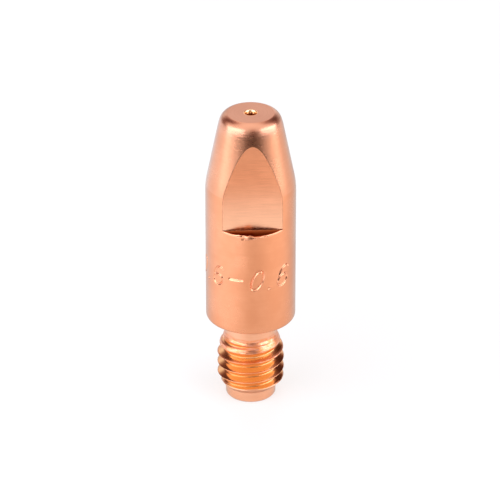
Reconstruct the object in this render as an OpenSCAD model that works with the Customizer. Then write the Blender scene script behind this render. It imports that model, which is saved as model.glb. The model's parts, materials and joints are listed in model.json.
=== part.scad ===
// Welding contact tip: a single turned copper piece, millimetres, standing on its thread end, +Z up.
// The axis is Z and the thread end lies in the plane z = 0. The two spanner flats face -Y and +Y.

/* [Overall] */
// Overall length from the thread end to the nose face
total_len = 28; // [25:0.5:40]
// Diameter of the barrel
barrel_d = 8; // [7:0.1:12]
// Rounding of the barrel's lower edge
shoulder_round = 0.3; // [0.1:0.05:0.8]

/* [Nose] */
// Height of the tapered nose above the barrel
cone_len = 6.8; // [4:0.1:9]
// Diameter where the taper would meet the nose face
nose_d = 5.25; // [4:0.05:6.5]
// Rounding of the nose edge
nose_round = 0.9; // [0.2:0.05:1.2]

/* [Spanner flats] */
// Distance across the two milled flats
across_flats = 6; // [5.5:0.1:7]
// Length of the flats, from the nose face down to their ledge
flat_len = 10; // [8:0.1:14]

/* [Threaded shank] */
// Length of the shank below the barrel's shoulder
shank_len = 8; // [7:0.1:10]
// Major diameter of the thread
thread_d = 6; // [5:0.5:6.5]
// Pitch of the thread
thread_pitch = 1; // [0.75:0.05:1.25]
// Length of the plain relief between the thread and the shoulder
relief_len = 2.1; // [1.6:0.05:2.5]
// How far the relief lies below the root of the thread
relief_undercut = 0.07; // [0.05:0.01:0.2]
// Angle of the taper between the thread and the relief, measured from the axis
relief_taper = 30; // [25:5:60]
// Length of the plain pilot that enters the holder first
pilot_len = 1; // [0.5:0.05:1.5]
// How far the pilot lies below the root of the thread
pilot_undercut = 0.14; // [0.05:0.01:0.3]
// Chamfer at the thread end
end_chamfer = 0.15; // [0.05:0.05:0.4]

/* [Wire bore] */
// Diameter of the welding wire
wire_d = 0.6; // [0.6:0.1:1.2]
// Diametral clearance of the wire in the bore
wire_clearance = 0.15; // [0.1:0.05:0.3]
// Width of the broken edge round the bore at the nose
mouth_break = 0.17; // [0.05:0.01:0.3]
// Mouth diameter of the wire lead-in at the thread end
lead_in_d = 2.4; // [1.6:0.1:3]
// Included angle of the wire lead-in
lead_in_angle = 60; // [40:5:90]

/* [Hidden] */
$fn = 96;
copper = [0.85, 0.52, 0.37];
// Slack by which the cutting shapes pass through a surface
over = 0.5;
// Straight steps of the thread cutter in one turn
thread_steps = 30;
// Metric thread proportions, as shares of the pitch
crest_flat = 0.125 * thread_pitch;
thread_depth = 0.6134 * thread_pitch;
// Turning of the thread about the axis, as a share of one pitch
thread_phase = 0.79;
// Angle at which a rounding meets the faces it joins, as left by a form tool
edge_angle = 5;

barrel_r = barrel_d / 2;
nose_r = nose_d / 2;
thread_r = thread_d / 2;
root_r = thread_r - thread_depth;
relief_r = root_r - relief_undercut;
pilot_r = root_r - pilot_undercut;
bore_r = (wire_d + wire_clearance) / 2;
mouth_r = bore_r + mouth_break;
lead_in_r = lead_in_d / 2;
lead_in_len = (lead_in_r - bore_r) / tan(lead_in_angle / 2);
cone_z = total_len - cone_len;
flat_z = total_len - flat_len;
relief_z = shank_len - relief_len;
cone_half_angle = atan((barrel_r - nose_r) / cone_len);
// Centres of the two roundings, set in from the faces they join
nose_inset = nose_round * cos(edge_angle);
nose_centre = [
    nose_r + nose_inset * (tan(cone_half_angle) - 1 / cos(cone_half_angle)),
    total_len - nose_inset
];
shoulder_inset = shoulder_round * cos(edge_angle);
shoulder_centre = [barrel_r - shoulder_inset, shank_len + shoulder_inset];

// What a rounding takes off a corner: a kite from its centre between two directions, less the circle
module corner_waste(centre, radius, from_angle, to_angle) {
    reach = radius + over;
    mid_reach = reach / cos((to_angle - from_angle) / 2);
    mid_angle = (from_angle + to_angle) / 2;
    kite = [[0, 0], [reach, from_angle], [mid_reach, mid_angle], [reach, to_angle]];
    difference() {
        polygon([for (p = kite) centre + p[0] * [cos(p[1]), sin(p[1])]]);
        translate(centre) circle(r = radius);
    }
}

// Half section of the turned blank: pilot, thread blank, relief, barrel and tapered nose
module blank_section() {
    difference() {
        polygon([
            [0, 0],
            [pilot_r - end_chamfer, 0],
            [pilot_r, end_chamfer],
            [pilot_r, pilot_len],
            [thread_r, pilot_len + thread_r - pilot_r],
            [thread_r, relief_z - (thread_r - relief_r) / tan(relief_taper)],
            [relief_r, relief_z],
            [relief_r, shank_len],
            [barrel_r, shank_len],
            [barrel_r, cone_z],
            [nose_r, total_len],
            [0, total_len]
        ]);
        corner_waste(nose_centre, nose_round, cone_half_angle, 90);
        corner_waste(shoulder_centre, shoulder_round, -90, 0);
    }
}

// Corners of the thread groove at one angle: root, then the open side beyond the crest
function groove_corners(a) =
    let (
        open_r = thread_r + 0.1 * thread_pitch,
        root_half = (thread_pitch - crest_flat) / 2 - thread_depth * tan(30),
        open_half = root_half + (open_r - root_r) * tan(30),
        z = thread_pitch * (a / 360 - thread_phase)
    )
    [
        for (p = [[root_r, -root_half], [open_r, -open_half], [open_r, open_half], [root_r, root_half]])
        [p[0] * cos(a), p[0] * sin(a), z + p[1]]
    ];

// Right-hand helical groove from below the thread end up into the relief
module thread_groove() {
    groove_end_z = shank_len - relief_len / 2;
    turns = groove_end_z / thread_pitch + thread_phase;
    steps = round(turns * thread_steps);
    points = [for (i = [0:steps]) each groove_corners(i * 360 / thread_steps)];
    sides = [
        for (i = [0:steps - 1]) for (k = [0:3])
        let (a = 4 * i + k, b = 4 * i + (k + 1) % 4)
        each [[a, b, b + 4], [a, b + 4, a + 4]]
    ];
    last = 4 * steps;
    ends = [[3, 2, 1, 0], [last, last + 1, last + 2, last + 3]];
    polyhedron(points, concat(sides, ends), convexity = 20);
}

// Milled flats for a spanner, one on each side of the nose
module spanner_flats() {
    for (side = [0, 180])
        rotate([0, 0, side])
            translate([-barrel_d, across_flats / 2, flat_z])
                cube([2 * barrel_d, barrel_d, flat_len + over]);
}

// Passage for the wire: lead-in cone, straight bore and broken edge at the nose
module wire_passage() {
    lead_in_open = lead_in_r + over * tan(lead_in_angle / 2);
    translate([0, 0, -over]) cylinder(r = bore_r, h = total_len + 2 * over);
    translate([0, 0, -over]) cylinder(r1 = lead_in_open, r2 = bore_r, h = lead_in_len + over);
    translate([0, 0, total_len - mouth_break]) cylinder(r1 = bore_r, r2 = mouth_r + over, h = mouth_break + over);
}

// The whole tip
module contact_tip() {
    color(copper)
        difference() {
            rotate_extrude() blank_section();
            thread_groove();
            spanner_flats();
            wire_passage();
        }
}

contact_tip();
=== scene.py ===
"""Welding contact tip: a fine mesh of the turned copper piece, its finishes, and a plain studio."""
import json
import math

import bmesh
import bpy
import numpy as np
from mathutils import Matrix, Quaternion, Vector


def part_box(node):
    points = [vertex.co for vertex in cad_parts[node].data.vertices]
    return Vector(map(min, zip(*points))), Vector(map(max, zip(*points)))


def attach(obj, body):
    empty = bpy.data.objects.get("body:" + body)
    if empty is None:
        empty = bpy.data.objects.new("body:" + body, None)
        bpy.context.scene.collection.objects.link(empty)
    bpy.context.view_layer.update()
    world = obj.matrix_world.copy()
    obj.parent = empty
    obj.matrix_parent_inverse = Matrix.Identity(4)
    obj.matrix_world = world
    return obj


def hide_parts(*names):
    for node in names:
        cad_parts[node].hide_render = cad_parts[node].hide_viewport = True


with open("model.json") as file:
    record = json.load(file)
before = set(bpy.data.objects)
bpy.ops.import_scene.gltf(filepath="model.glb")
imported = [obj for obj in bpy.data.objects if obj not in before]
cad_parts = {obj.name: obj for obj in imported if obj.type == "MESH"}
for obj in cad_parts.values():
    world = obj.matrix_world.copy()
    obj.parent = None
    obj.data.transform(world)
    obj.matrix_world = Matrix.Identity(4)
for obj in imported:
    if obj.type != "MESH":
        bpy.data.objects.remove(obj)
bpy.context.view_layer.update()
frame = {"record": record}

# Sizes in millimetres, the main ones from the frame
MM = 0.001
mounts = {m["name"]: m for m in frame["record"]["mounts"]}
low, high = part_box("contact_tip")
TOTAL = (high[2] - low[2]) / MM
BARREL_R = (high[0] - low[0]) / 2 / MM
BORE_R = mounts["wire_bore"]["dims"]["r_mm"]
THREAD_R = mounts["holder_thread"]["dims"]["r_mm"]
SHANK = mounts["shoulder"]["pos_m"][2] / MM
FLAT_Y = -mounts["spanner_flat_front"]["pos_m"][1] / MM

CONE_Z = TOTAL - 6.8
NOSE_R = 2.625
FLAT_Z = TOTAL - 10
SHOULDER_ROUND = 0.3
PITCH = 1.0
THREAD_PHASE = 0.79
CREST_FLAT = 0.02 * PITCH
ROOT_R = THREAD_R - 0.6134 * PITCH
RELIEF_R = ROOT_R - 0.07
RUN_OUT_LOW = SHANK - 3.8
RUN_OUT_HIGH = SHANK - 1.8
RUN_OUT_CURVE = 1.6
GROOVE_END = SHANK - 1.6
GROOVE_FADE = 0.55
PILOT_R = ROOT_R - 0.14
PILOT_Z = 1.0
END_CHAMFER = 0.15
LEAD_IN_R = 1.2
LEAD_IN_Z = (LEAD_IN_R - BORE_R) / math.tan(math.radians(30))
CONE_ANGLE = math.atan2(BARREL_R - NOSE_R, TOTAL - CONE_Z)

# Small softened edges, in millimetres
FLAT_EDGE = 0.035
RIM_ROUND = 0.07
CORNER_FILLET = 0.03
CONE_BLEND = 0.7
NOSE_BLEND_R = 4.0
NOSE_BLEND_END = math.radians(20.5)
NOSE_EDGE_R = 0.95
NOSE_EDGE_END = math.radians(75)
THREAD_SOFT = 0.015

# Columns round the axis in each zone of the mesh
SHANK_COLUMNS = 160
BARREL_COLUMNS = 200
BORE_COLUMNS = 48
ARC_COLUMNS = 84
FLAT_COLUMNS = 60
EDGE_COLUMNS = 4
# Points closer than this, in millimetres, are one
MERGE_DISTANCE = 2e-4

# Finishes, which are also the object's material slots
(TURNED, TAPERED, FACED, MILLED, LEDGE, ROOT, FLANK, CREST,
 RUN_OUT, PLAIN, CUT, MOUTH, SMEARED, BORE) = range(14)


class Shell:
    """Collects rings of points and the faces between them."""

    def __init__(self):
        self.points = []
        self.faces = []
        self.finishes = []

    def ring(self, x, y, z):
        """Adds a closed ring of points and returns their numbers."""
        start = len(self.points)
        z = np.broadcast_to(z, np.shape(x))
        self.points.extend(zip(x, y, z))
        return np.arange(start, start + len(x))

    def circle(self, radius, z, angles):
        return self.ring(radius * np.cos(angles), radius * np.sin(angles), z)

    def face(self, corners, finish):
        self.faces.append([int(c) for c in corners])
        self.finishes.append(finish)

    def join(self, a, b, finish):
        """Fills between two rings, with quads where they have as many points and triangles where not."""
        if len(a) == len(b):
            finish = np.broadcast_to(finish, len(a))
            for k in range(len(a)):
                n = (k + 1) % len(a)
                self.face((a[k], a[n], b[n], b[k]), int(finish[k]))
        else:
            self.zip_rings(a, b, int(np.ravel(finish)[0]))

    def zip_rings(self, a, b, finish):
        """Fills between two rings with triangles, in the order of their angles round the axis."""
        def in_order(ring):
            angle = np.array([math.atan2(self.points[i][1], self.points[i][0]) for i in ring])
            order = np.argsort(angle, kind="stable")
            turns = np.append(angle[order], angle[order[0]] + math.tau)
            return np.append(ring[order], ring[order[0]]), turns

        a, a_turn = in_order(a)
        b, b_turn = in_order(b)
        i = j = 0
        while i < len(a) - 1 or j < len(b) - 1:
            step_a = j == len(b) - 1 or (i < len(a) - 1 and a_turn[i + 1] <= b_turn[j + 1])
            if step_a:
                self.face((a[i], a[i + 1], b[j]), finish)
                i += 1
            else:
                self.face((a[i], b[j + 1], b[j]), finish)
                j += 1

    def lathe(self, start, profile, angles, finish):
        """Carries a ring on through the (radius, z) points of a profile and returns the last ring."""
        for radius, z in profile:
            nxt = self.circle(radius, z, angles)
            self.join(start, nxt, finish)
            start = nxt
        return start

    def build(self, name, materials):
        """Makes the closed, smooth object out of the points and faces collected so far."""
        mesh = bpy.data.meshes.new(name)
        mesh.from_pydata([Vector(p) * MM for p in self.points], [], self.faces)
        mesh.polygons.foreach_set("material_index", self.finishes)
        bm = bmesh.new()
        bm.from_mesh(mesh)
        bmesh.ops.remove_doubles(bm, verts=bm.verts, dist=MERGE_DISTANCE * MM)
        bmesh.ops.dissolve_degenerate(bm, edges=bm.edges, dist=MERGE_DISTANCE / 2 * MM)
        bmesh.ops.recalc_face_normals(bm, faces=bm.faces)
        for f in bm.faces:
            f.smooth = True
        bm.to_mesh(mesh)
        bm.free()
        for m in materials:
            mesh.materials.append(m)
        obj = bpy.data.objects.new(name, mesh)
        bpy.context.collection.objects.link(obj)
        return obj


def even_angles(count):
    return np.linspace(0, math.tau, count, endpoint=False)


def arc(centre, radius, first, last, steps):
    """Points of an arc in the (radius, z) plane, angles in radians."""
    return [
        (centre[0] + radius * math.cos(t), centre[1] + radius * math.sin(t))
        for t in np.linspace(first, last, steps)
    ]


# Threaded shank

# How far the bright crests reach down the flanks, the height of the dull roots, whose deeper orange is
# painted shade, and how shallow a groove counts as run out
CREST_DEPTH = 0.08
ROOT_HEIGHT = 0.06
RUN_OUT_MARGIN = 0.075
THREAD_FLANK = math.tan(math.radians(30))
# Heights of the mesh rows above and below the middle of a groove, as shares of the pitch
ROW_SHARES = [0.05, 0.09, 0.14, 0.22, 0.3, 0.37, 0.42, 0.455, 0.48]


def thread_radius(s):
    """Radius of the thread at a height s above the middle of the groove, edges softened."""
    root_half = (PITCH - CREST_FLAT) / 2 - (THREAD_R - ROOT_R) * THREAD_FLANK
    total = 0
    offsets = np.linspace(-THREAD_SOFT, THREAD_SOFT, 7)
    for d in offsets:
        away = np.abs((s + d + PITCH / 2) % PITCH - PITCH / 2)
        flank = ROOT_R + (away - root_half) / THREAD_FLANK
        total = total + np.clip(flank, ROOT_R, THREAD_R)
    return total / len(offsets)


def shank_limit(z):
    """Radius of the turned blank under the thread: pilot, 45 degree chamfer, rounded run-out and relief."""
    chamfer = np.clip(PILOT_R + z - PILOT_Z, PILOT_R, THREAD_R)
    share = np.clip((z - RUN_OUT_LOW) / (RUN_OUT_HIGH - RUN_OUT_LOW), 0, 1)
    run_out = THREAD_R - (THREAD_R - RELIEF_R) * share**RUN_OUT_CURVE
    return np.minimum(chamfer, run_out)


def thread_finish(helix, z):
    """Finish of the thread by its radius: groove, crest, and the parts that follow the turned blank."""
    limit = shank_limit(z)
    finish = np.where(helix > THREAD_R - CREST_DEPTH, CREST, FLANK)
    # The roots' dull finish carries painted shade: a deeper orange
    finish = np.where(helix < ROOT_R + ROOT_HEIGHT, ROOT, finish)
    blank = np.where(z > PILOT_Z + 1, RUN_OUT, PLAIN)
    return np.where(limit < helix + RUN_OUT_MARGIN, np.where(limit < THREAD_R, blank, finish), finish)


def add_thread(shell, z_low, z_high):
    """Threaded stretch between two plain rings. Rows follow the helix, so crests stay crisp."""
    half = np.array(ROW_SHARES) * PITCH
    one_turn = np.concatenate([-half[::-1], [0], half, [PITCH / 2]])
    per_turn = len(one_turn)
    angles = even_angles(SHANK_COLUMNS)
    first = math.floor((z_low - PITCH) / PITCH) - 1
    last = math.ceil(z_high / PITCH) + 1
    rows = np.concatenate([one_turn + k * PITCH for k in range(first, last + 1)])
    grid = []
    finishes = []
    for s in rows:
        z = np.clip(s + PITCH * (angles / math.tau - THREAD_PHASE), z_low, z_high)
        fade = np.clip((z - GROOVE_END) / GROOVE_FADE + 1, 0, 1)
        helix = thread_radius(s * np.ones_like(z))
        helix = helix + (THREAD_R - helix) * fade**2 * (3 - 2 * fade)
        radius = np.minimum(helix, shank_limit(z))
        grid.append(shell.ring(radius * np.cos(angles), radius * np.sin(angles), z))
        finishes.append(thread_finish(helix, z))
    grid = np.array(grid)
    for i in range(len(rows) - 1):
        for j in range(SHANK_COLUMNS - 1):
            corners = (grid[i, j], grid[i, j + 1], grid[i + 1, j + 1], grid[i + 1, j])
            shell.face(corners, int(finishes[i][j]))
        up = i + per_turn
        if up + 1 < len(rows):
            corners = (grid[i, -1], grid[up, 0], grid[up + 1, 0], grid[i + 1, -1])
            shell.face(corners, int(finishes[i][-1]))


def add_shank(shell, bore_ring):
    """From the bore's lower end out to the shoulder: lead-in, end face, pilot, thread and relief."""
    bore_angles = even_angles(BORE_COLUMNS)
    angles = even_angles(SHANK_COLUMNS)
    lead_in = [(LEAD_IN_R - 0.04, 0.07), (LEAD_IN_R, 0.015), (LEAD_IN_R + 0.05, 0)]
    ring = shell.lathe(bore_ring, lead_in, bore_angles, TURNED)
    end_face = [
        (LEAD_IN_R + 0.2, 0),
        (PILOT_R - END_CHAMFER - 0.04, 0),
        (PILOT_R - END_CHAMFER + 0.02, 0.012),
        (PILOT_R - 0.02, END_CHAMFER - 0.01),
        (PILOT_R, END_CHAMFER + 0.04),
        (PILOT_R, PILOT_Z / 2),
    ]
    shell.lathe(ring, end_face, angles, PLAIN)
    relief_mid = RUN_OUT_HIGH + 0.3
    add_thread(shell, PILOT_Z / 2, relief_mid)
    ring = shell.circle(RELIEF_R, relief_mid, angles)
    relief = [
        (RELIEF_R, SHANK - 0.3),
        (RELIEF_R, SHANK - 0.1),
        (RELIEF_R + 0.03, SHANK - 0.03),
        (RELIEF_R + 0.1, SHANK),
        (RELIEF_R + 0.3, SHANK),
    ]
    return shell.lathe(ring, relief, angles, PLAIN)


# Stamped wire size

MARK_Z = 13.47
MARK_HEIGHT = 2.0
MARK_HALF_WIDTH = 0.095
MARK_DEPTH = 0.11
MARK_LIP = 0.012
# Place and width of the raised lip beside a stroke, in half widths of the stroke
LIP_PLACE = 1.45
LIP_WIDTH = 0.4
# The finely meshed band: half height and row spacing, and its ends and column spacing in degrees
BAND_HALF_HEIGHT = 1.25
BAND_ROW = 0.036
BAND_LEFT = -104
BAND_RIGHT = 66
BAND_COLUMN = 0.5
BACK_COLUMNS = 76
# Depth from which the barrel's surface counts as cut by the stamp
CUT_LIMIT = 0.01


def ellipse_stroke(centre, rx, ry, first, last):
    t = np.radians(np.linspace(first, last, 28))
    return np.c_[centre[0] + rx * np.cos(t), centre[1] + ry * np.sin(t)]


def glyph_strokes(glyph):
    """Centre lines of a glyph of height 1, centred on the origin."""
    if glyph == "0":
        return [ellipse_stroke((0, 0), 0.24, 0.46, 0, 360)]
    if glyph == "6":
        return [
            ellipse_stroke((0.03, 0), 0.3, 0.46, 55, 180),
            ellipse_stroke((0, -0.19), 0.27, 0.27, 0, 360),
        ]
    return [np.array([[0.0, -0.47], [0.03, -0.44]])]


# Each glyph of the marking, its azimuth from the front and its slant, in degrees
MARKING = [
    ("0", -85.2, 17),
    (".", -70.2, 0),
    ("6", -48.2, 10),
    ("0", 5.3, 18),
    (".", 20.8, 0),
    ("6", 42.8, 15),
]


def mark_segments():
    """Line pieces of the marking on the unrolled barrel: ends as (across, up) in millimetres."""
    starts, ends = [], []
    for glyph, azimuth, slant in MARKING:
        across = BARREL_R * math.radians(azimuth)
        for stroke in glyph_strokes(glyph):
            u = across + MARK_HEIGHT * (stroke[:, 0] + math.tan(math.radians(slant)) * stroke[:, 1])
            line = np.c_[u, MARK_Z + MARK_HEIGHT * stroke[:, 1]]
            starts.append(line[:-1])
            ends.append(line[1:])
    return np.vstack(starts), np.vstack(ends)


DASH_AZIMUTH = -22.7
DASH_HALF_LENGTH = 0.56
DASH_DEPTH = 0.15
# Height of its deepest line over the marking's middle, and the widths of its two slopes and its ends
DASH_RISE = 0.07
DASH_STEEP = 0.05
DASH_WIDE = 0.22
DASH_END = 0.16


def dash_displacement(across, up):
    """The dash is a chisel mark: steep at its upper edge, with a wide slope below."""
    along = np.abs(across - BARREL_R * math.radians(DASH_AZIMUTH)) - DASH_HALF_LENGTH
    above = up - MARK_Z - DASH_RISE
    slope = np.where(above > 0, 1 - above / DASH_STEEP, 1 + above / DASH_WIDE)
    ends = np.clip(1 - along / DASH_END, 0, 1)
    return -DASH_DEPTH * np.clip(slope, 0, 1) * ends


def mark_displacement(across, up):
    """How far the stamp pushed the surface in (negative) or out, at points of the unrolled barrel."""
    nearest = np.full(np.shape(across), 1e3)
    for a, b in zip(*mark_segments()):
        along = b - a
        t = ((across - a[0]) * along[0] + (up - a[1]) * along[1]) / (along @ along)
        t = np.clip(t, 0, 1)
        gap = np.hypot(across - a[0] - t * along[0], up - a[1] - t * along[1])
        nearest = np.minimum(nearest, gap)
    beside = nearest / MARK_HALF_WIDTH
    groove = -MARK_DEPTH * np.clip(1 - beside, 0, 1)
    lip = MARK_LIP * np.exp(-(((beside - LIP_PLACE) / LIP_WIDTH) ** 2))
    return np.minimum(groove + lip, dash_displacement(across, up) + lip)


def add_barrel(shell, ring):
    """Shoulder, lower barrel and the stretch with the stamped marking."""
    angles = even_angles(BARREL_COLUMNS)
    inset = SHOULDER_ROUND
    edge = arc((BARREL_R - inset, SHANK + inset), inset, -math.pi / 2, 0, 7)
    heights = np.linspace(SHANK + 2 * inset, MARK_Z - BAND_HALF_HEIGHT - 0.1, 6)
    ring = shell.lathe(ring, [(BARREL_R - 1, SHANK), (BARREL_R - inset - 0.06, SHANK)], angles, TURNED)
    ring = shell.lathe(ring, edge + [(BARREL_R, z) for z in heights], angles, TURNED)
    fine = np.radians(np.arange(BAND_LEFT, BAND_RIGHT, BAND_COLUMN))
    plain = np.linspace(fine[-1], fine[0] + math.tau, BACK_COLUMNS)[1:-1]
    azimuth = np.concatenate([fine, plain])
    for z in np.arange(MARK_Z - BAND_HALF_HEIGHT, MARK_Z + BAND_HALF_HEIGHT, BAND_ROW):
        press = mark_displacement(BARREL_R * azimuth, np.full_like(azimuth, z))
        radius = BARREL_R + press
        nxt = shell.ring(radius * np.sin(azimuth), -radius * np.cos(azimuth), z)
        shell.join(ring, nxt, np.where(press < -CUT_LIMIT, CUT, TURNED))
        ring = nxt
    return ring


# Flats, taper and nose

def outer_radius(z):
    """Radius of the barrel and the taper, with the corner between them blended."""
    t = np.clip(z - CONE_Z, -CONE_BLEND, None)
    ramp = np.where(t < CONE_BLEND, (t + CONE_BLEND) ** 2 / (4 * CONE_BLEND), t)
    return BARREL_R - math.tan(CONE_ANGLE) * ramp


def half_section(radius):
    """Half of the section that the flats cut from a circle: arc, softened edge, chord, softened edge."""
    flat_y = min(FLAT_Y, radius)
    half = math.sqrt(max(radius**2 - flat_y**2, 0))
    soft = min(FLAT_EDGE, 0.45 * half)
    end = math.atan2(flat_y, half) - soft / radius
    turn = np.linspace(-end, end, ARC_COLUMNS)
    side = np.c_[radius * np.cos(turn), radius * np.sin(turn)]
    chord_x = np.linspace(half - soft, soft - half, FLAT_COLUMNS)
    chord = np.c_[chord_x, np.full(FLAT_COLUMNS, flat_y)]
    corner = np.array([half, flat_y])
    t = np.linspace(0, 1, EDGE_COLUMNS + 2)[1:-1, None]
    edge = (1 - t) ** 2 * side[-1] + 2 * t * (1 - t) * corner + t**2 * chord[0]
    mirrored = edge[::-1] * [-1, 1]
    return side, edge, chord, mirrored


def cut_ring(radius):
    """Section with both flats, as points in the XY plane, starting on the right-hand side."""
    half = np.vstack(half_section(radius))
    return np.vstack([half, -half])


def round_ring():
    """Full circle of the barrel whose columns line up with those of the flats."""
    side, edge, chord, mirrored = half_section(BARREL_R)
    bulge = np.c_[chord[:, 0], np.sqrt(BARREL_R**2 - chord[:, 0] ** 2)]

    def on_circle(p):
        return p * BARREL_R / np.linalg.norm(p, axis=1, keepdims=True)

    half = np.vstack([side, on_circle(edge), bulge, on_circle(mirrored)])
    return np.vstack([half, -half])


def cut_finish(flat_finish, side_finish):
    """Finish of each column of a cut ring: the flats with their edges, and the round sides."""
    half = np.full(ARC_COLUMNS + 2 * EDGE_COLUMNS + FLAT_COLUMNS, side_finish)
    half[ARC_COLUMNS - 1 :] = flat_finish
    if flat_finish == MILLED:
        half[ARC_COLUMNS - 1 : ARC_COLUMNS + EDGE_COLUMNS] = SMEARED
        half[-1 - EDGE_COLUMNS :] = SMEARED
    return np.concatenate([half, half])


# The ledges fall outwards; the barrel's rows follow them from this far below over this height
LEDGE_SLOPE = math.tan(math.radians(9))
FALL_START = 0.9
FALL_HEIGHT = 0.77
ROWS_BELOW = (2.6, 1.6, 0.9, 0.6, *np.arange(0.49, 0.12, -0.04))
# Height of the thin lip along a ledge's rim
RIM_LIP = 0.03
# The burr on the front ledge: a flap below the rim that narrows to the right
BURR_LEFT = -0.72
BURR_RIGHT = 1.0
BURR_REACH = 0.44
BURR_CURVE = 0.8
BURR_HEIGHT = 0.15
BURR_START = 0.12
BURR_EDGE = 0.07
# A dent at the flap's left
DENT_DEPTH = 0.1
DENT_X = BURR_LEFT - 0.1
DENT_WIDTH = 0.13
DENT_REACH = 0.4
DENT_EDGE = 0.1
# The flap's peak over the rim, and a lower lip at its left
BURR_PEAK = 0.17
BURR_PEAK_X = -0.27
BURR_PEAK_HALF_WIDTH = 0.36
BURR_LIP = 0.08
BURR_LIP_LEFT = -1.8
BURR_LIP_RISE = 0.5
BURR_LIP_FALL = 0.2
# Height from which the barrel's surface counts as smeared
SMEAR_LIMIT = 0.03


def burr(x, below):
    """How far the burr raises the barrel, or its dent sinks it. The sine waves make the edges ragged."""
    reach = BURR_REACH * np.clip((BURR_RIGHT - x) / (BURR_RIGHT - BURR_LEFT), 0, 1) ** BURR_CURVE
    reach = reach * (0.9 + 0.1 * np.sin(13 * x + 0.5))
    starts = np.clip((x - BURR_LEFT) / BURR_START, 0, 1)
    ragged = 0.8 + 0.2 * np.sin(11 * x + 1.3) * np.sin(17 * x + 9 * below)
    flap = BURR_HEIGHT * starts * ragged * np.clip((reach - below) / BURR_EDGE, 0, 1)
    hollow = np.exp(-(((x - DENT_X) / DENT_WIDTH) ** 2))
    dent = DENT_DEPTH * hollow * np.clip((DENT_REACH - below) / DENT_EDGE, 0, 1)
    return flap - dent


def burr_peak(x):
    """How far the flap, and a lower lip at its left, stand up over the front ledge's rim."""
    flap = BURR_PEAK * np.clip(1 - np.abs(x - BURR_PEAK_X) / BURR_PEAK_HALF_WIDTH, 0, 1)
    rise = np.clip((x - BURR_LIP_LEFT) / BURR_LIP_RISE, 0, 1)
    fall = np.clip((BURR_PEAK_X - x) / BURR_LIP_FALL, 0, 1)
    return np.maximum(flap, BURR_LIP * rise * fall)


def rim_lip(x):
    """Thin ragged lip that the cutter raised along a ledge's rim."""
    return RIM_LIP * (0.75 + 0.25 * np.sin(9 * x + 1) * np.sin(23 * x))


def add_ledges(shell, ring):
    """Barrel up to the flats, the rounded rim, the ledges and the corner at the foot of the flats."""
    full = round_ring()
    cut = cut_ring(BARREL_R)
    width = np.linalg.norm(full - cut, axis=1)
    on_ledge = width > 1e-6
    front = full[:, 1] < 0
    for below in ROWS_BELOW:
        out = np.where(front, burr(full[:, 0], below), 0) / BARREL_R
        fall = LEDGE_SLOPE * width * np.clip((FALL_START - below) / FALL_HEIGHT, 0, 1)
        nxt = shell.ring(full[:, 0] * (1 + out), full[:, 1] * (1 + out), FLAT_Z - below - fall)
        shell.join(ring, nxt, np.where(np.abs(out) * BARREL_R > SMEAR_LIMIT, SMEARED, TURNED))
        ring = nxt
    rim = np.minimum(RIM_ROUND, 0.4 * width)
    safe = np.maximum(width, 1e-9)
    peak = np.where(front, burr_peak(full[:, 0]), 0)
    lip = rim_lip(full[:, 0]) * rim / RIM_ROUND + peak
    none = np.zeros_like(rim)
    # Each row from the rim to the flat: share of the way inwards, height on a ledge, height on the sides
    steps = [
        (none, -rim, -RIM_ROUND),
        (0.3 * rim / safe, lip - 0.3 * rim, -0.6 * RIM_ROUND),
        (rim / safe, lip, -0.3 * RIM_ROUND),
        (1.8 * rim / safe, none, -0.1 * RIM_ROUND),
        ((width - CORNER_FILLET) / safe, none, 0.0),
        (none + 1, none + CORNER_FILLET, CORNER_FILLET),
    ]
    for level, (inward, ledge_z, side_z) in enumerate(steps):
        inward = np.clip(np.where(on_ledge, inward, 0), 0, 1)
        spot = full + (cut - full) * inward[:, None]
        out = np.where(front & (level < 2), burr(full[:, 0], 0.05), 0)[:, None] / BARREL_R
        spot = spot * (1 + out)
        z = FLAT_Z + np.where(on_ledge, ledge_z - LEDGE_SLOPE * width * (1 - inward), side_z)
        nxt = shell.ring(spot[:, 0], spot[:, 1], z)
        # The ledge rows take the LEDGE finish, whose near-black colour is painted shade
        finish = cut_finish(LEDGE if level > 3 else CUT, TURNED)
        shell.join(ring, nxt, np.where((peak > BURR_LIP) & (level < 3), SMEARED, finish))
        ring = nxt
    return ring


def nose_profile():
    """Half section of the nose edge: a long blend out of the taper, then the tight round up to the face."""
    tight_z = TOTAL - NOSE_EDGE_R * math.sin(NOSE_EDGE_END)
    meet_z = tight_z + NOSE_EDGE_R * math.sin(NOSE_BLEND_END)
    blend_z = meet_z - NOSE_BLEND_R * math.sin(NOSE_BLEND_END)
    start_z = blend_z + NOSE_BLEND_R * math.sin(CONE_ANGLE)
    start_r = NOSE_R + (TOTAL - start_z) * math.tan(CONE_ANGLE)
    blend_r = start_r - NOSE_BLEND_R * math.cos(CONE_ANGLE)
    tight_r = blend_r + (NOSE_BLEND_R - NOSE_EDGE_R) * math.cos(NOSE_BLEND_END)
    blend = arc((blend_r, blend_z), NOSE_BLEND_R, CONE_ANGLE, NOSE_BLEND_END, 10)
    tight = arc((tight_r, tight_z), NOSE_EDGE_R, NOSE_BLEND_END, NOSE_EDGE_END, 18)
    return blend + tight[1:]


# Trumpet mouth of the bore and the throat under it: points as distances beyond the bore's radius and depths
FACE_END = 0.25
MOUTH_POINTS = [(0.17, 0.006), (0.15, 0.03), (0.125, 0.11), (0.075, 0.27)]
THROAT_POINTS = [(0.06, 0.33), (0.03, 0.44), (0, 0.58)]
BORE_TOP = 0.6


def bore_profile(points):
    """Points of the bore's upper end in the (radius, z) plane."""
    return [(BORE_R + beyond, TOTAL - depth) for beyond, depth in points]


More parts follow.
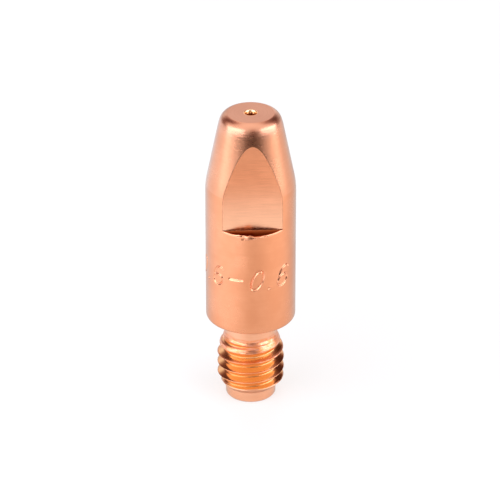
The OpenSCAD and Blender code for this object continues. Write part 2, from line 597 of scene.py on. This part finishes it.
def add_nose(shell, ring):
    """Flats up to their tips on the taper, the rounded nose edge, the nose face and the bore's mouth."""
    barrel_z = np.linspace(FLAT_Z + 0.1, CONE_Z - CONE_BLEND, 9)
    blend_z = np.linspace(CONE_Z - CONE_BLEND, CONE_Z + CONE_BLEND, 7)[1:]
    reach = np.linspace(math.acos(FLAT_Y / outer_radius(blend_z[-1])), 0, 32)[1:]
    cone_z = CONE_Z + (BARREL_R - FLAT_Y / np.cos(reach)) / math.tan(CONE_ANGLE)
    edge = nose_profile()
    plain_z = np.linspace(cone_z[-1], edge[0][1], 5)[1:-1]
    for z in np.concatenate([barrel_z, blend_z, cone_z, plain_z]):
        spot = cut_ring(float(outer_radius(z)))
        nxt = shell.ring(spot[:, 0], spot[:, 1], z)
        side = TAPERED if z > CONE_Z else TURNED
        shell.join(ring, nxt, cut_finish(MILLED if z <= cone_z[-1] else side, side))
        ring = nxt
    face = [(r, TOTAL) for r in np.linspace(edge[-1][0] - FLAT_EDGE, BORE_R + FACE_END, 9)]
    for level, (radius, z) in enumerate(edge + face):
        spot = cut_ring(radius)
        nxt = shell.ring(spot[:, 0], spot[:, 1], z)
        shell.join(ring, nxt, TAPERED if level < len(edge) - 1 else FACED)
        ring = nxt
    ring = shell.lathe(ring, bore_profile(MOUTH_POINTS), even_angles(BORE_COLUMNS), MOUTH)
    return shell.lathe(ring, bore_profile(THROAT_POINTS), even_angles(BORE_COLUMNS), BORE)


def make_tip(materials):
    """The whole closed surface, from the bore's lower end round the outside and back down the bore."""
    shell = Shell()
    bore_angles = even_angles(BORE_COLUMNS)
    bore_foot = shell.circle(BORE_R, LEAD_IN_Z, bore_angles)
    ring = add_shank(shell, bore_foot)
    ring = add_barrel(shell, ring)
    ring = add_ledges(shell, ring)
    ring = add_nose(shell, ring)
    wall = [(BORE_R, z) for z in np.linspace(TOTAL - BORE_TOP, LEAD_IN_Z, 14)]
    shell.lathe(ring, wall, bore_angles, BORE)
    return shell.build("contact_tip_surface", materials)


# Materials

class Nodes:
    """Short ways to place and link nodes of one tree."""

    def __init__(self, tree):
        self.tree = tree

    def put(self, kind, **settings):
        node = self.tree.nodes.new(kind)
        for name, value in settings.items():
            setattr(node, name, value)
        return node

    def link(self, source, socket):
        self.tree.links.new(source, socket)

    def math(self, operation, a, b):
        """Combines two values, each an output of another node or a plain number."""
        node = self.put("ShaderNodeMath", operation=operation)
        for socket, value in zip(node.inputs, (a, b)):
            if isinstance(value, (int, float)):
                socket.default_value = value
            else:
                self.link(value, socket)
        return node.outputs[0]

    def dot(self, vector, direction):
        node = self.put("ShaderNodeVectorMath", operation="DOT_PRODUCT")
        node.inputs[1].default_value = direction
        self.link(vector, node.inputs[0])
        return node.outputs["Value"]

    def smooth(self, value, edge, softness, before, after):
        """Soft step from one level to another where the value passes the edge."""
        node = self.put("ShaderNodeMapRange", interpolation_type="SMOOTHSTEP")
        numbers = (edge - softness, edge + softness, before, after)
        for name, number in zip(("From Min", "From Max", "To Min", "To Max"), numbers):
            node.inputs[name].default_value = number
        self.link(value, node.inputs["Value"])
        return node.outputs[0]


def tool_marks(nodes, place, faced, lines_per_mm, stretch):
    """Fine lines left by the tool: rings stacked along z, or along the radius on a faced end."""
    noise = nodes.put("ShaderNodeTexNoise")
    noise.inputs["Scale"].default_value = lines_per_mm / MM
    noise.inputs["Detail"].default_value = 2
    squash = nodes.put("ShaderNodeVectorMath", operation="MULTIPLY")
    squash.inputs[1].default_value = (1, 1, 0) if faced else (stretch, stretch, 1)
    nodes.link(place, squash.inputs[0])
    spot = squash.outputs[0]
    if faced:
        length = nodes.put("ShaderNodeVectorMath", operation="LENGTH")
        nodes.link(spot, length.inputs[0])
        spot = length.outputs["Value"]
    nodes.link(spot, noise.inputs["Vector"])
    return noise.outputs[0]


def mix(nodes, factor, a, b):
    """Mixes two colours, each an output of another node or plain numbers."""
    node = nodes.put("ShaderNodeMix", data_type="RGBA")
    nodes.link(factor, node.inputs["Factor"])
    for name, colour in (("A", a), ("B", b)):
        if isinstance(colour, tuple):
            node.inputs[name].default_value = (*colour, 1)
        else:
            nodes.link(colour, node.inputs[name])
    return node.outputs["Result"]


# Tint of the metal seen edge on: on the open surfaces, in the ledges and the bore, on the thread's flanks
EDGE_TINT = (0.7, 0.9, 0.97, 1)
WARM_EDGE = (0.9, 0.42, 0.26, 1)
ROSY_EDGE = (0.95, 0.75, 0.85, 1)
# Spacing of the clouds, how softly the tone and the gloss follow the wear, and the spread of the gloss
CLOUDS_PER_MM = 0.45
TONE_SOFTNESS = 0.16
GLOSS_SOFTNESS = 0.2
GLOSS_SPREAD = 0.03
QUARTER_TURN = 0.25


def copper(name, tones, gloss, lines, faced=False, fade=None, stretch=0.03, edge=EDGE_TINT):
    """Bare copper with tool marks that shift its slope, colour and gloss, and clouds of a deeper tone."""
    light, deep = tones
    roughness, anisotropy = gloss
    lines_per_mm, line_height, line_share = lines
    material = bpy.data.materials.new(name)
    material.use_nodes = True
    nodes = Nodes(material.node_tree)
    shader = material.node_tree.nodes["Principled BSDF"]
    shader.inputs["Metallic"].default_value = 1
    shader.inputs["Specular Tint"].default_value = edge
    shader.inputs["Anisotropic"].default_value = anisotropy
    shader.inputs["Anisotropic Rotation"].default_value = QUARTER_TURN
    tangent = nodes.put("ShaderNodeTangent", direction_type="RADIAL", axis="Z")
    nodes.link(tangent.outputs[0], shader.inputs["Tangent"])

    place = nodes.put("ShaderNodeTexCoord").outputs["Object"]
    marks = tool_marks(nodes, place, faced, lines_per_mm, stretch)
    bump = nodes.put("ShaderNodeBump")
    bump.inputs["Strength"].default_value = 1
    bump.inputs["Distance"].default_value = line_height * MM
    nodes.link(marks, bump.inputs["Height"])
    nodes.link(bump.outputs[0], shader.inputs["Normal"])

    cloud = nodes.put("ShaderNodeTexNoise")
    cloud.inputs["Scale"].default_value = CLOUDS_PER_MM / MM
    cloud.inputs["Detail"].default_value = 4
    nodes.link(place, cloud.inputs["Vector"])
    line_wear = nodes.math("MULTIPLY", marks, line_share)
    wear = nodes.math("ADD", line_wear, nodes.math("MULTIPLY", cloud.outputs[0], 1 - line_share))
    colour = mix(nodes, nodes.smooth(wear, 0.5, TONE_SOFTNESS, 0, 1), light, deep)
    if fade:
        other, middle, softness, below, above = fade
        height = nodes.dot(place, (0, 0, 1 / MM))
        colour = mix(nodes, nodes.smooth(height, middle, softness, below, above), colour, other)
    nodes.link(colour, shader.inputs["Base Color"])
    smoother, rougher = roughness - GLOSS_SPREAD, roughness + GLOSS_SPREAD
    worn_gloss = nodes.smooth(wear, 0.5, GLOSS_SOFTNESS, smoother, rougher)
    nodes.link(worn_gloss, shader.inputs["Roughness"])
    return material


def make_finishes():
    """One material for each finish, in the order of their numbers.

    Each has a light and a deep tone, then roughness and anisotropy, then its tool marks: lines in a
    millimetre, their height and their share in the wear. A fade has another tone, the height and softness
    of the change, and the share of that tone below and above.
    """
    warm = (0.815, 0.342, 0.178), (0.765, 0.305, 0.151)
    taper = (0.84, 0.375, 0.21), (0.79, 0.335, 0.182)
    pale = (0.84, 0.375, 0.237), (0.78, 0.33, 0.203)
    milled = (0.82, 0.325, 0.166), (0.765, 0.29, 0.142)
    # Painted shade: the ledges' near-black copper stands in for the shade on the steps below the flats
    dark = (0.13, 0.034, 0.012), (0.105, 0.027, 0.009)
    # Painted shade: the roots' deeper, more saturated orange stands in for light bounced between the flanks
    painted_root_shade = (0.9, 0.27, 0.06), (0.86, 0.24, 0.05)
    gold = (0.95, 0.52, 0.235), (0.92, 0.48, 0.208)
    rosy = (0.93, 0.43, 0.22), (0.9, 0.4, 0.2)
    speckled = (0.94, 0.415, 0.255), (0.89, 0.31, 0.12)
    pink = (0.92, 0.465, 0.28), (0.87, 0.42, 0.245)
    cut = (0.93, 0.42, 0.24), (0.9, 0.39, 0.22)
    # Painted highlight: the mouth's pale copper makes its reflections show nearly white
    painted_mouth_highlight = (0.96, 0.68, 0.43), (0.93, 0.63, 0.39)
    dull = (0.78, 0.35, 0.2), (0.58, 0.235, 0.12)
    # Painted shade: the bore's dark copper stands in for the shade inside the hole
    painted_bore_shade = (0.4, 0.13, 0.05), (0.34, 0.11, 0.04)
    nose_fade = (0.815, 0.372, 0.23), TOTAL - 1.1, 0.5, 0, 1
    # Painted sheen: the flats turn paler towards their foot
    painted_foot_sheen = (0.95, 0.53, 0.34), FLAT_Z + 3, 2.5, 0.75, 0
    # The ledges' painted shade is lighter near the foot of the flats
    painted_ledge_shade_fade = (0.38, 0.1, 0.032), FLAT_Z - 0.04, 0.05, 0, 1
    return [
        copper("copper_turned", warm, (0.29, 0.55), (6, 0.001, 0.15)),
        copper("copper_tapered", taper, (0.29, 0.45), (6, 0.012, 0.3), fade=nose_fade, stretch=0.2),
        copper("copper_faced", pale, (0.3, 0.3), (6, 0.003, 0.6), faced=True),
        copper("copper_milled", milled, (0.23, 0.55), (14, 0.0008, 0.5), fade=painted_foot_sheen),
        copper("copper_ledge", dark, (0.22, 0.3), (9, 0.0008, 0.4), fade=painted_ledge_shade_fade, edge=WARM_EDGE),
        copper("copper_root", painted_root_shade, (0.3, 0.2), (8, 0.0005, 0.3)),
        copper("copper_flank", gold, (0.15, 0.2), (8, 0.0005, 0.3), edge=ROSY_EDGE),
        copper("copper_crest", rosy, (0.15, 0.2), (8, 0.0005, 0.3)),
        copper("copper_run_out", speckled, (0.31, 0.2), (7, 0.025, 0.9), stretch=0.3),
        copper("copper_plain", pink, (0.3, 0.5), (10, 0.006, 0.5)),
        copper("copper_cut", cut, (0.18, 0.0), (4, 0.0005, 0.3)),
        copper("copper_mouth", painted_mouth_highlight, (0.13, 0.0), (4, 0.0005, 0.3), edge=WARM_EDGE),
        copper("copper_smeared", dull, (0.3, 0.0), (5, 0.003, 0.6), stretch=0.5),
        copper("copper_bore", painted_bore_shade, (0.2, 0.0), (4, 0.0005, 0.3), edge=WARM_EDGE),
    ]


# Studio

def towards(azimuth, elevation):
    """Unit vector from the tip; azimuth 0 is the camera's side, positive to the right, in degrees."""
    a, e = math.radians(azimuth), math.radians(elevation)
    return Vector((math.sin(a) * math.cos(e), -math.cos(a) * math.cos(e), math.sin(e)))


FLOOR_GLOW = 0.64
# Cool tint of the painted light on the floor's left
FLOOR_PAINTED_LIGHT_TINT = (0.9, 1, 1.15)
FLOOR_TONE = (0.36, 0.36, 0.36, 1)
# Reach of the sheet to each side, to the front and to the back, in metres
FLOOR_HALF = 0.8
FLOOR_FRONT = -0.065
FLOOR_BACK = 0.8


def make_floor():
    """White sheet that shows white to the camera and in the metal, with painted pools of light: brighter
    and cooler on the left, brighter far to the right and far in front.
    """
    sheet = bpy.data.meshes.new("studio_floor")
    front_edge = [(-FLOOR_HALF, FLOOR_FRONT, 0), (FLOOR_HALF, FLOOR_FRONT, 0)]
    back_edge = [(FLOOR_HALF, FLOOR_BACK, 0), (-FLOOR_HALF, FLOOR_BACK, 0)]
    sheet.from_pydata(front_edge + back_edge, [], [(0, 1, 2, 3)])
    floor = bpy.data.objects.new("studio_floor", sheet)
    bpy.context.collection.objects.link(floor)
    material = bpy.data.materials.new("white_sheet")
    material.use_nodes = True
    nodes = Nodes(material.node_tree)
    shader = material.node_tree.nodes["Principled BSDF"]
    shader.inputs["Base Color"].default_value = FLOOR_TONE
    shader.inputs["Roughness"].default_value = 0.9
    shader.inputs["Specular IOR Level"].default_value = 0.1
    # Places in millimetres from the tip's axis, levels as shares of white
    place = nodes.put("ShaderNodeTexCoord").outputs["Object"]
    across = nodes.dot(place, (1 / MM, 0, 0))
    behind = nodes.dot(place, (0, 1 / MM, 0))
    # Painted light: pools of extra glow stand in for a key light from the left, brighter and cooler on the
    # left, brighter far to the right in front and far in front; FLOOR_GLOW alone is the plain white
    painted_left_light = nodes.smooth(across, -15, 15, 1, 0)
    nodes.link(mix(nodes, painted_left_light, (1, 1, 1), FLOOR_PAINTED_LIGHT_TINT), shader.inputs["Emission Color"])
    left = nodes.math("MULTIPLY", painted_left_light, nodes.smooth(behind, 8, 18, 0.5, 0.3))
    painted_far_right_light = nodes.smooth(nodes.dot(place, (1 / MM, -0.3 / MM, 0)), 26, 5, 0, 0.27)
    right = nodes.math("MULTIPLY", painted_far_right_light, nodes.smooth(behind, 4, 12, 1, 0))
    front = nodes.smooth(behind, -26, 8, FLOOR_GLOW + 0.2, FLOOR_GLOW)
    white_and_painted_light = nodes.math("ADD", nodes.math("ADD", left, right), front)
    rays = nodes.put("ShaderNodeLightPath").outputs
    seen = nodes.math("ADD", rays["Is Camera Ray"], rays["Is Glossy Ray"])
    seen = nodes.math("ADD", seen, rays["Is Transmission Ray"])
    seen = nodes.math("MINIMUM", seen, 1)
    nodes.link(nodes.math("MULTIPLY", white_and_painted_light, seen), shader.inputs["Emission Strength"])
    floor.data.materials.append(material)


# Soft-edged spots of the room: direction, radius in degrees, and how much darker or, below zero, brighter
ROOM_SPOTS = [
    ((-127, 15), 13, 0.85),
    ((-137, 38), 16, 0.94),
    ((-124, 52), 11, 0.94),
    ((115, 22), 13, 0.85),
    ((140, 33), 18, 0.94),
    ((126, 50), 12, 0.94),
    ((-157, 12), 14, -0.5),
    ((160, 12), 14, -1.2),
]
SPOT_SOFTNESS = 0.06
# Level of the walls at the horizon, and how it changes to the right and upwards
ROOM_LEVEL = 0.5
ROOM_SLOPE = (-0.08, 0, 0.75)
SHADE_TINT = (1, 0.32, 0.26)
OPENING_AZIMUTH = 7
# Dark openings round the camera: half width at the horizon and height as slopes, softness, level inside
OPENINGS = [
    (0.74, 0.27, 0.18, 0.11),
    (0.24, 1.5, 0.08, 0.6),
]


def make_room():
    """White room: dark openings round the camera that narrow upwards, and dark corners behind."""
    world = bpy.data.worlds.new("studio")
    bpy.context.scene.world = world
    world.use_nodes = True
    nodes = Nodes(world.node_tree)
    direction = nodes.put("ShaderNodeTexCoord").outputs["Generated"]
    across = towards(OPENING_AZIMUTH + 90, 0)
    level = 1
    for half_width, height, softness, dark in OPENINGS:
        ahead = towards(OPENING_AZIMUTH, 0) * half_width
        rise = Vector((0, 0, half_width / height))
        left_edge = nodes.dot(direction, ahead + across - rise)
        right_edge = nodes.dot(direction, ahead - across - rise)
        inside = nodes.math("MINIMUM", left_edge, right_edge)
        level = nodes.math("MULTIPLY", level, nodes.smooth(inside, 0, softness, 1, dark))
    for (azimuth, elevation), radius, depth in ROOM_SPOTS:
        near = nodes.dot(direction, towards(azimuth, elevation))
        edge = math.cos(math.radians(radius))
        level = nodes.math("MULTIPLY", level, nodes.smooth(near, edge, SPOT_SOFTNESS, 1, 1 - depth))
    background = world.node_tree.nodes["Background"]
    nodes.link(mix(nodes, level, SHADE_TINT, (1, 1, 1)), background.inputs["Color"])
    change = nodes.dot(direction, ROOM_SLOPE)
    walls = nodes.math("MULTIPLY", nodes.math("ADD", change, ROOM_LEVEL), level)
    nodes.link(walls, background.inputs["Strength"])


SOFTBOX_DISTANCE = 0.45
SOFTBOX_TINT = (0.95, 0.98, 1.12)


def make_softbox(name, azimuth, elevation, roll, size, watts):
    """Rectangular lamp that faces the middle of the tip; angles in degrees, size in metres."""
    lamp = bpy.data.lights.new(name, "AREA")
    lamp.shape = "RECTANGLE"
    lamp.size, lamp.size_y = size
    lamp.energy = watts
    lamp.color = SOFTBOX_TINT
    box = bpy.data.objects.new(name, lamp)
    bpy.context.collection.objects.link(box)
    aim = Vector((0, 0, TOTAL * MM / 2))
    box.location = aim + towards(azimuth, elevation) * SOFTBOX_DISTANCE
    facing = (aim - box.location).to_track_quat("-Z", "Y")
    box.rotation_euler = (facing @ Quaternion((0, 0, 1), math.radians(roll))).to_euler()


# The picture is square; its side and the focal length are in pixels
CAMERA_DISTANCE = 0.3
CAMERA_AZIMUTH = -3.2
CAMERA_ELEVATION = 28.4
CAMERA_AIM = Vector((-0.06, 0, 14.44)) * MM
PICTURE = 500
FOCAL_PIXELS = 3383
SENSOR = 36


def make_camera():
    data = bpy.data.cameras.new("camera")
    camera = bpy.data.objects.new("camera", data)
    bpy.context.collection.objects.link(camera)
    data.sensor_width = SENSOR
    data.lens = SENSOR * FOCAL_PIXELS / PICTURE
    data.clip_start = 0.01
    camera.location = CAMERA_AIM + towards(CAMERA_AZIMUTH, CAMERA_ELEVATION) * CAMERA_DISTANCE
    camera.rotation_euler = (CAMERA_AIM - camera.location).to_track_quat("-Z", "Y").to_euler()
    bpy.context.scene.camera = camera


make_camera()
make_floor()
make_room()
make_softbox("softbox_left", azimuth=-62, elevation=18, roll=15, size=(0.6, 0.24), watts=1.02)
make_softbox("softbox_right", azimuth=68, elevation=19, roll=-15, size=(0.56, 0.24), watts=1.1)
bpy.context.scene.view_settings.view_transform = "Standard"

tip = make_tip(make_finishes())
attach(tip, "root")
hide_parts("contact_tip")
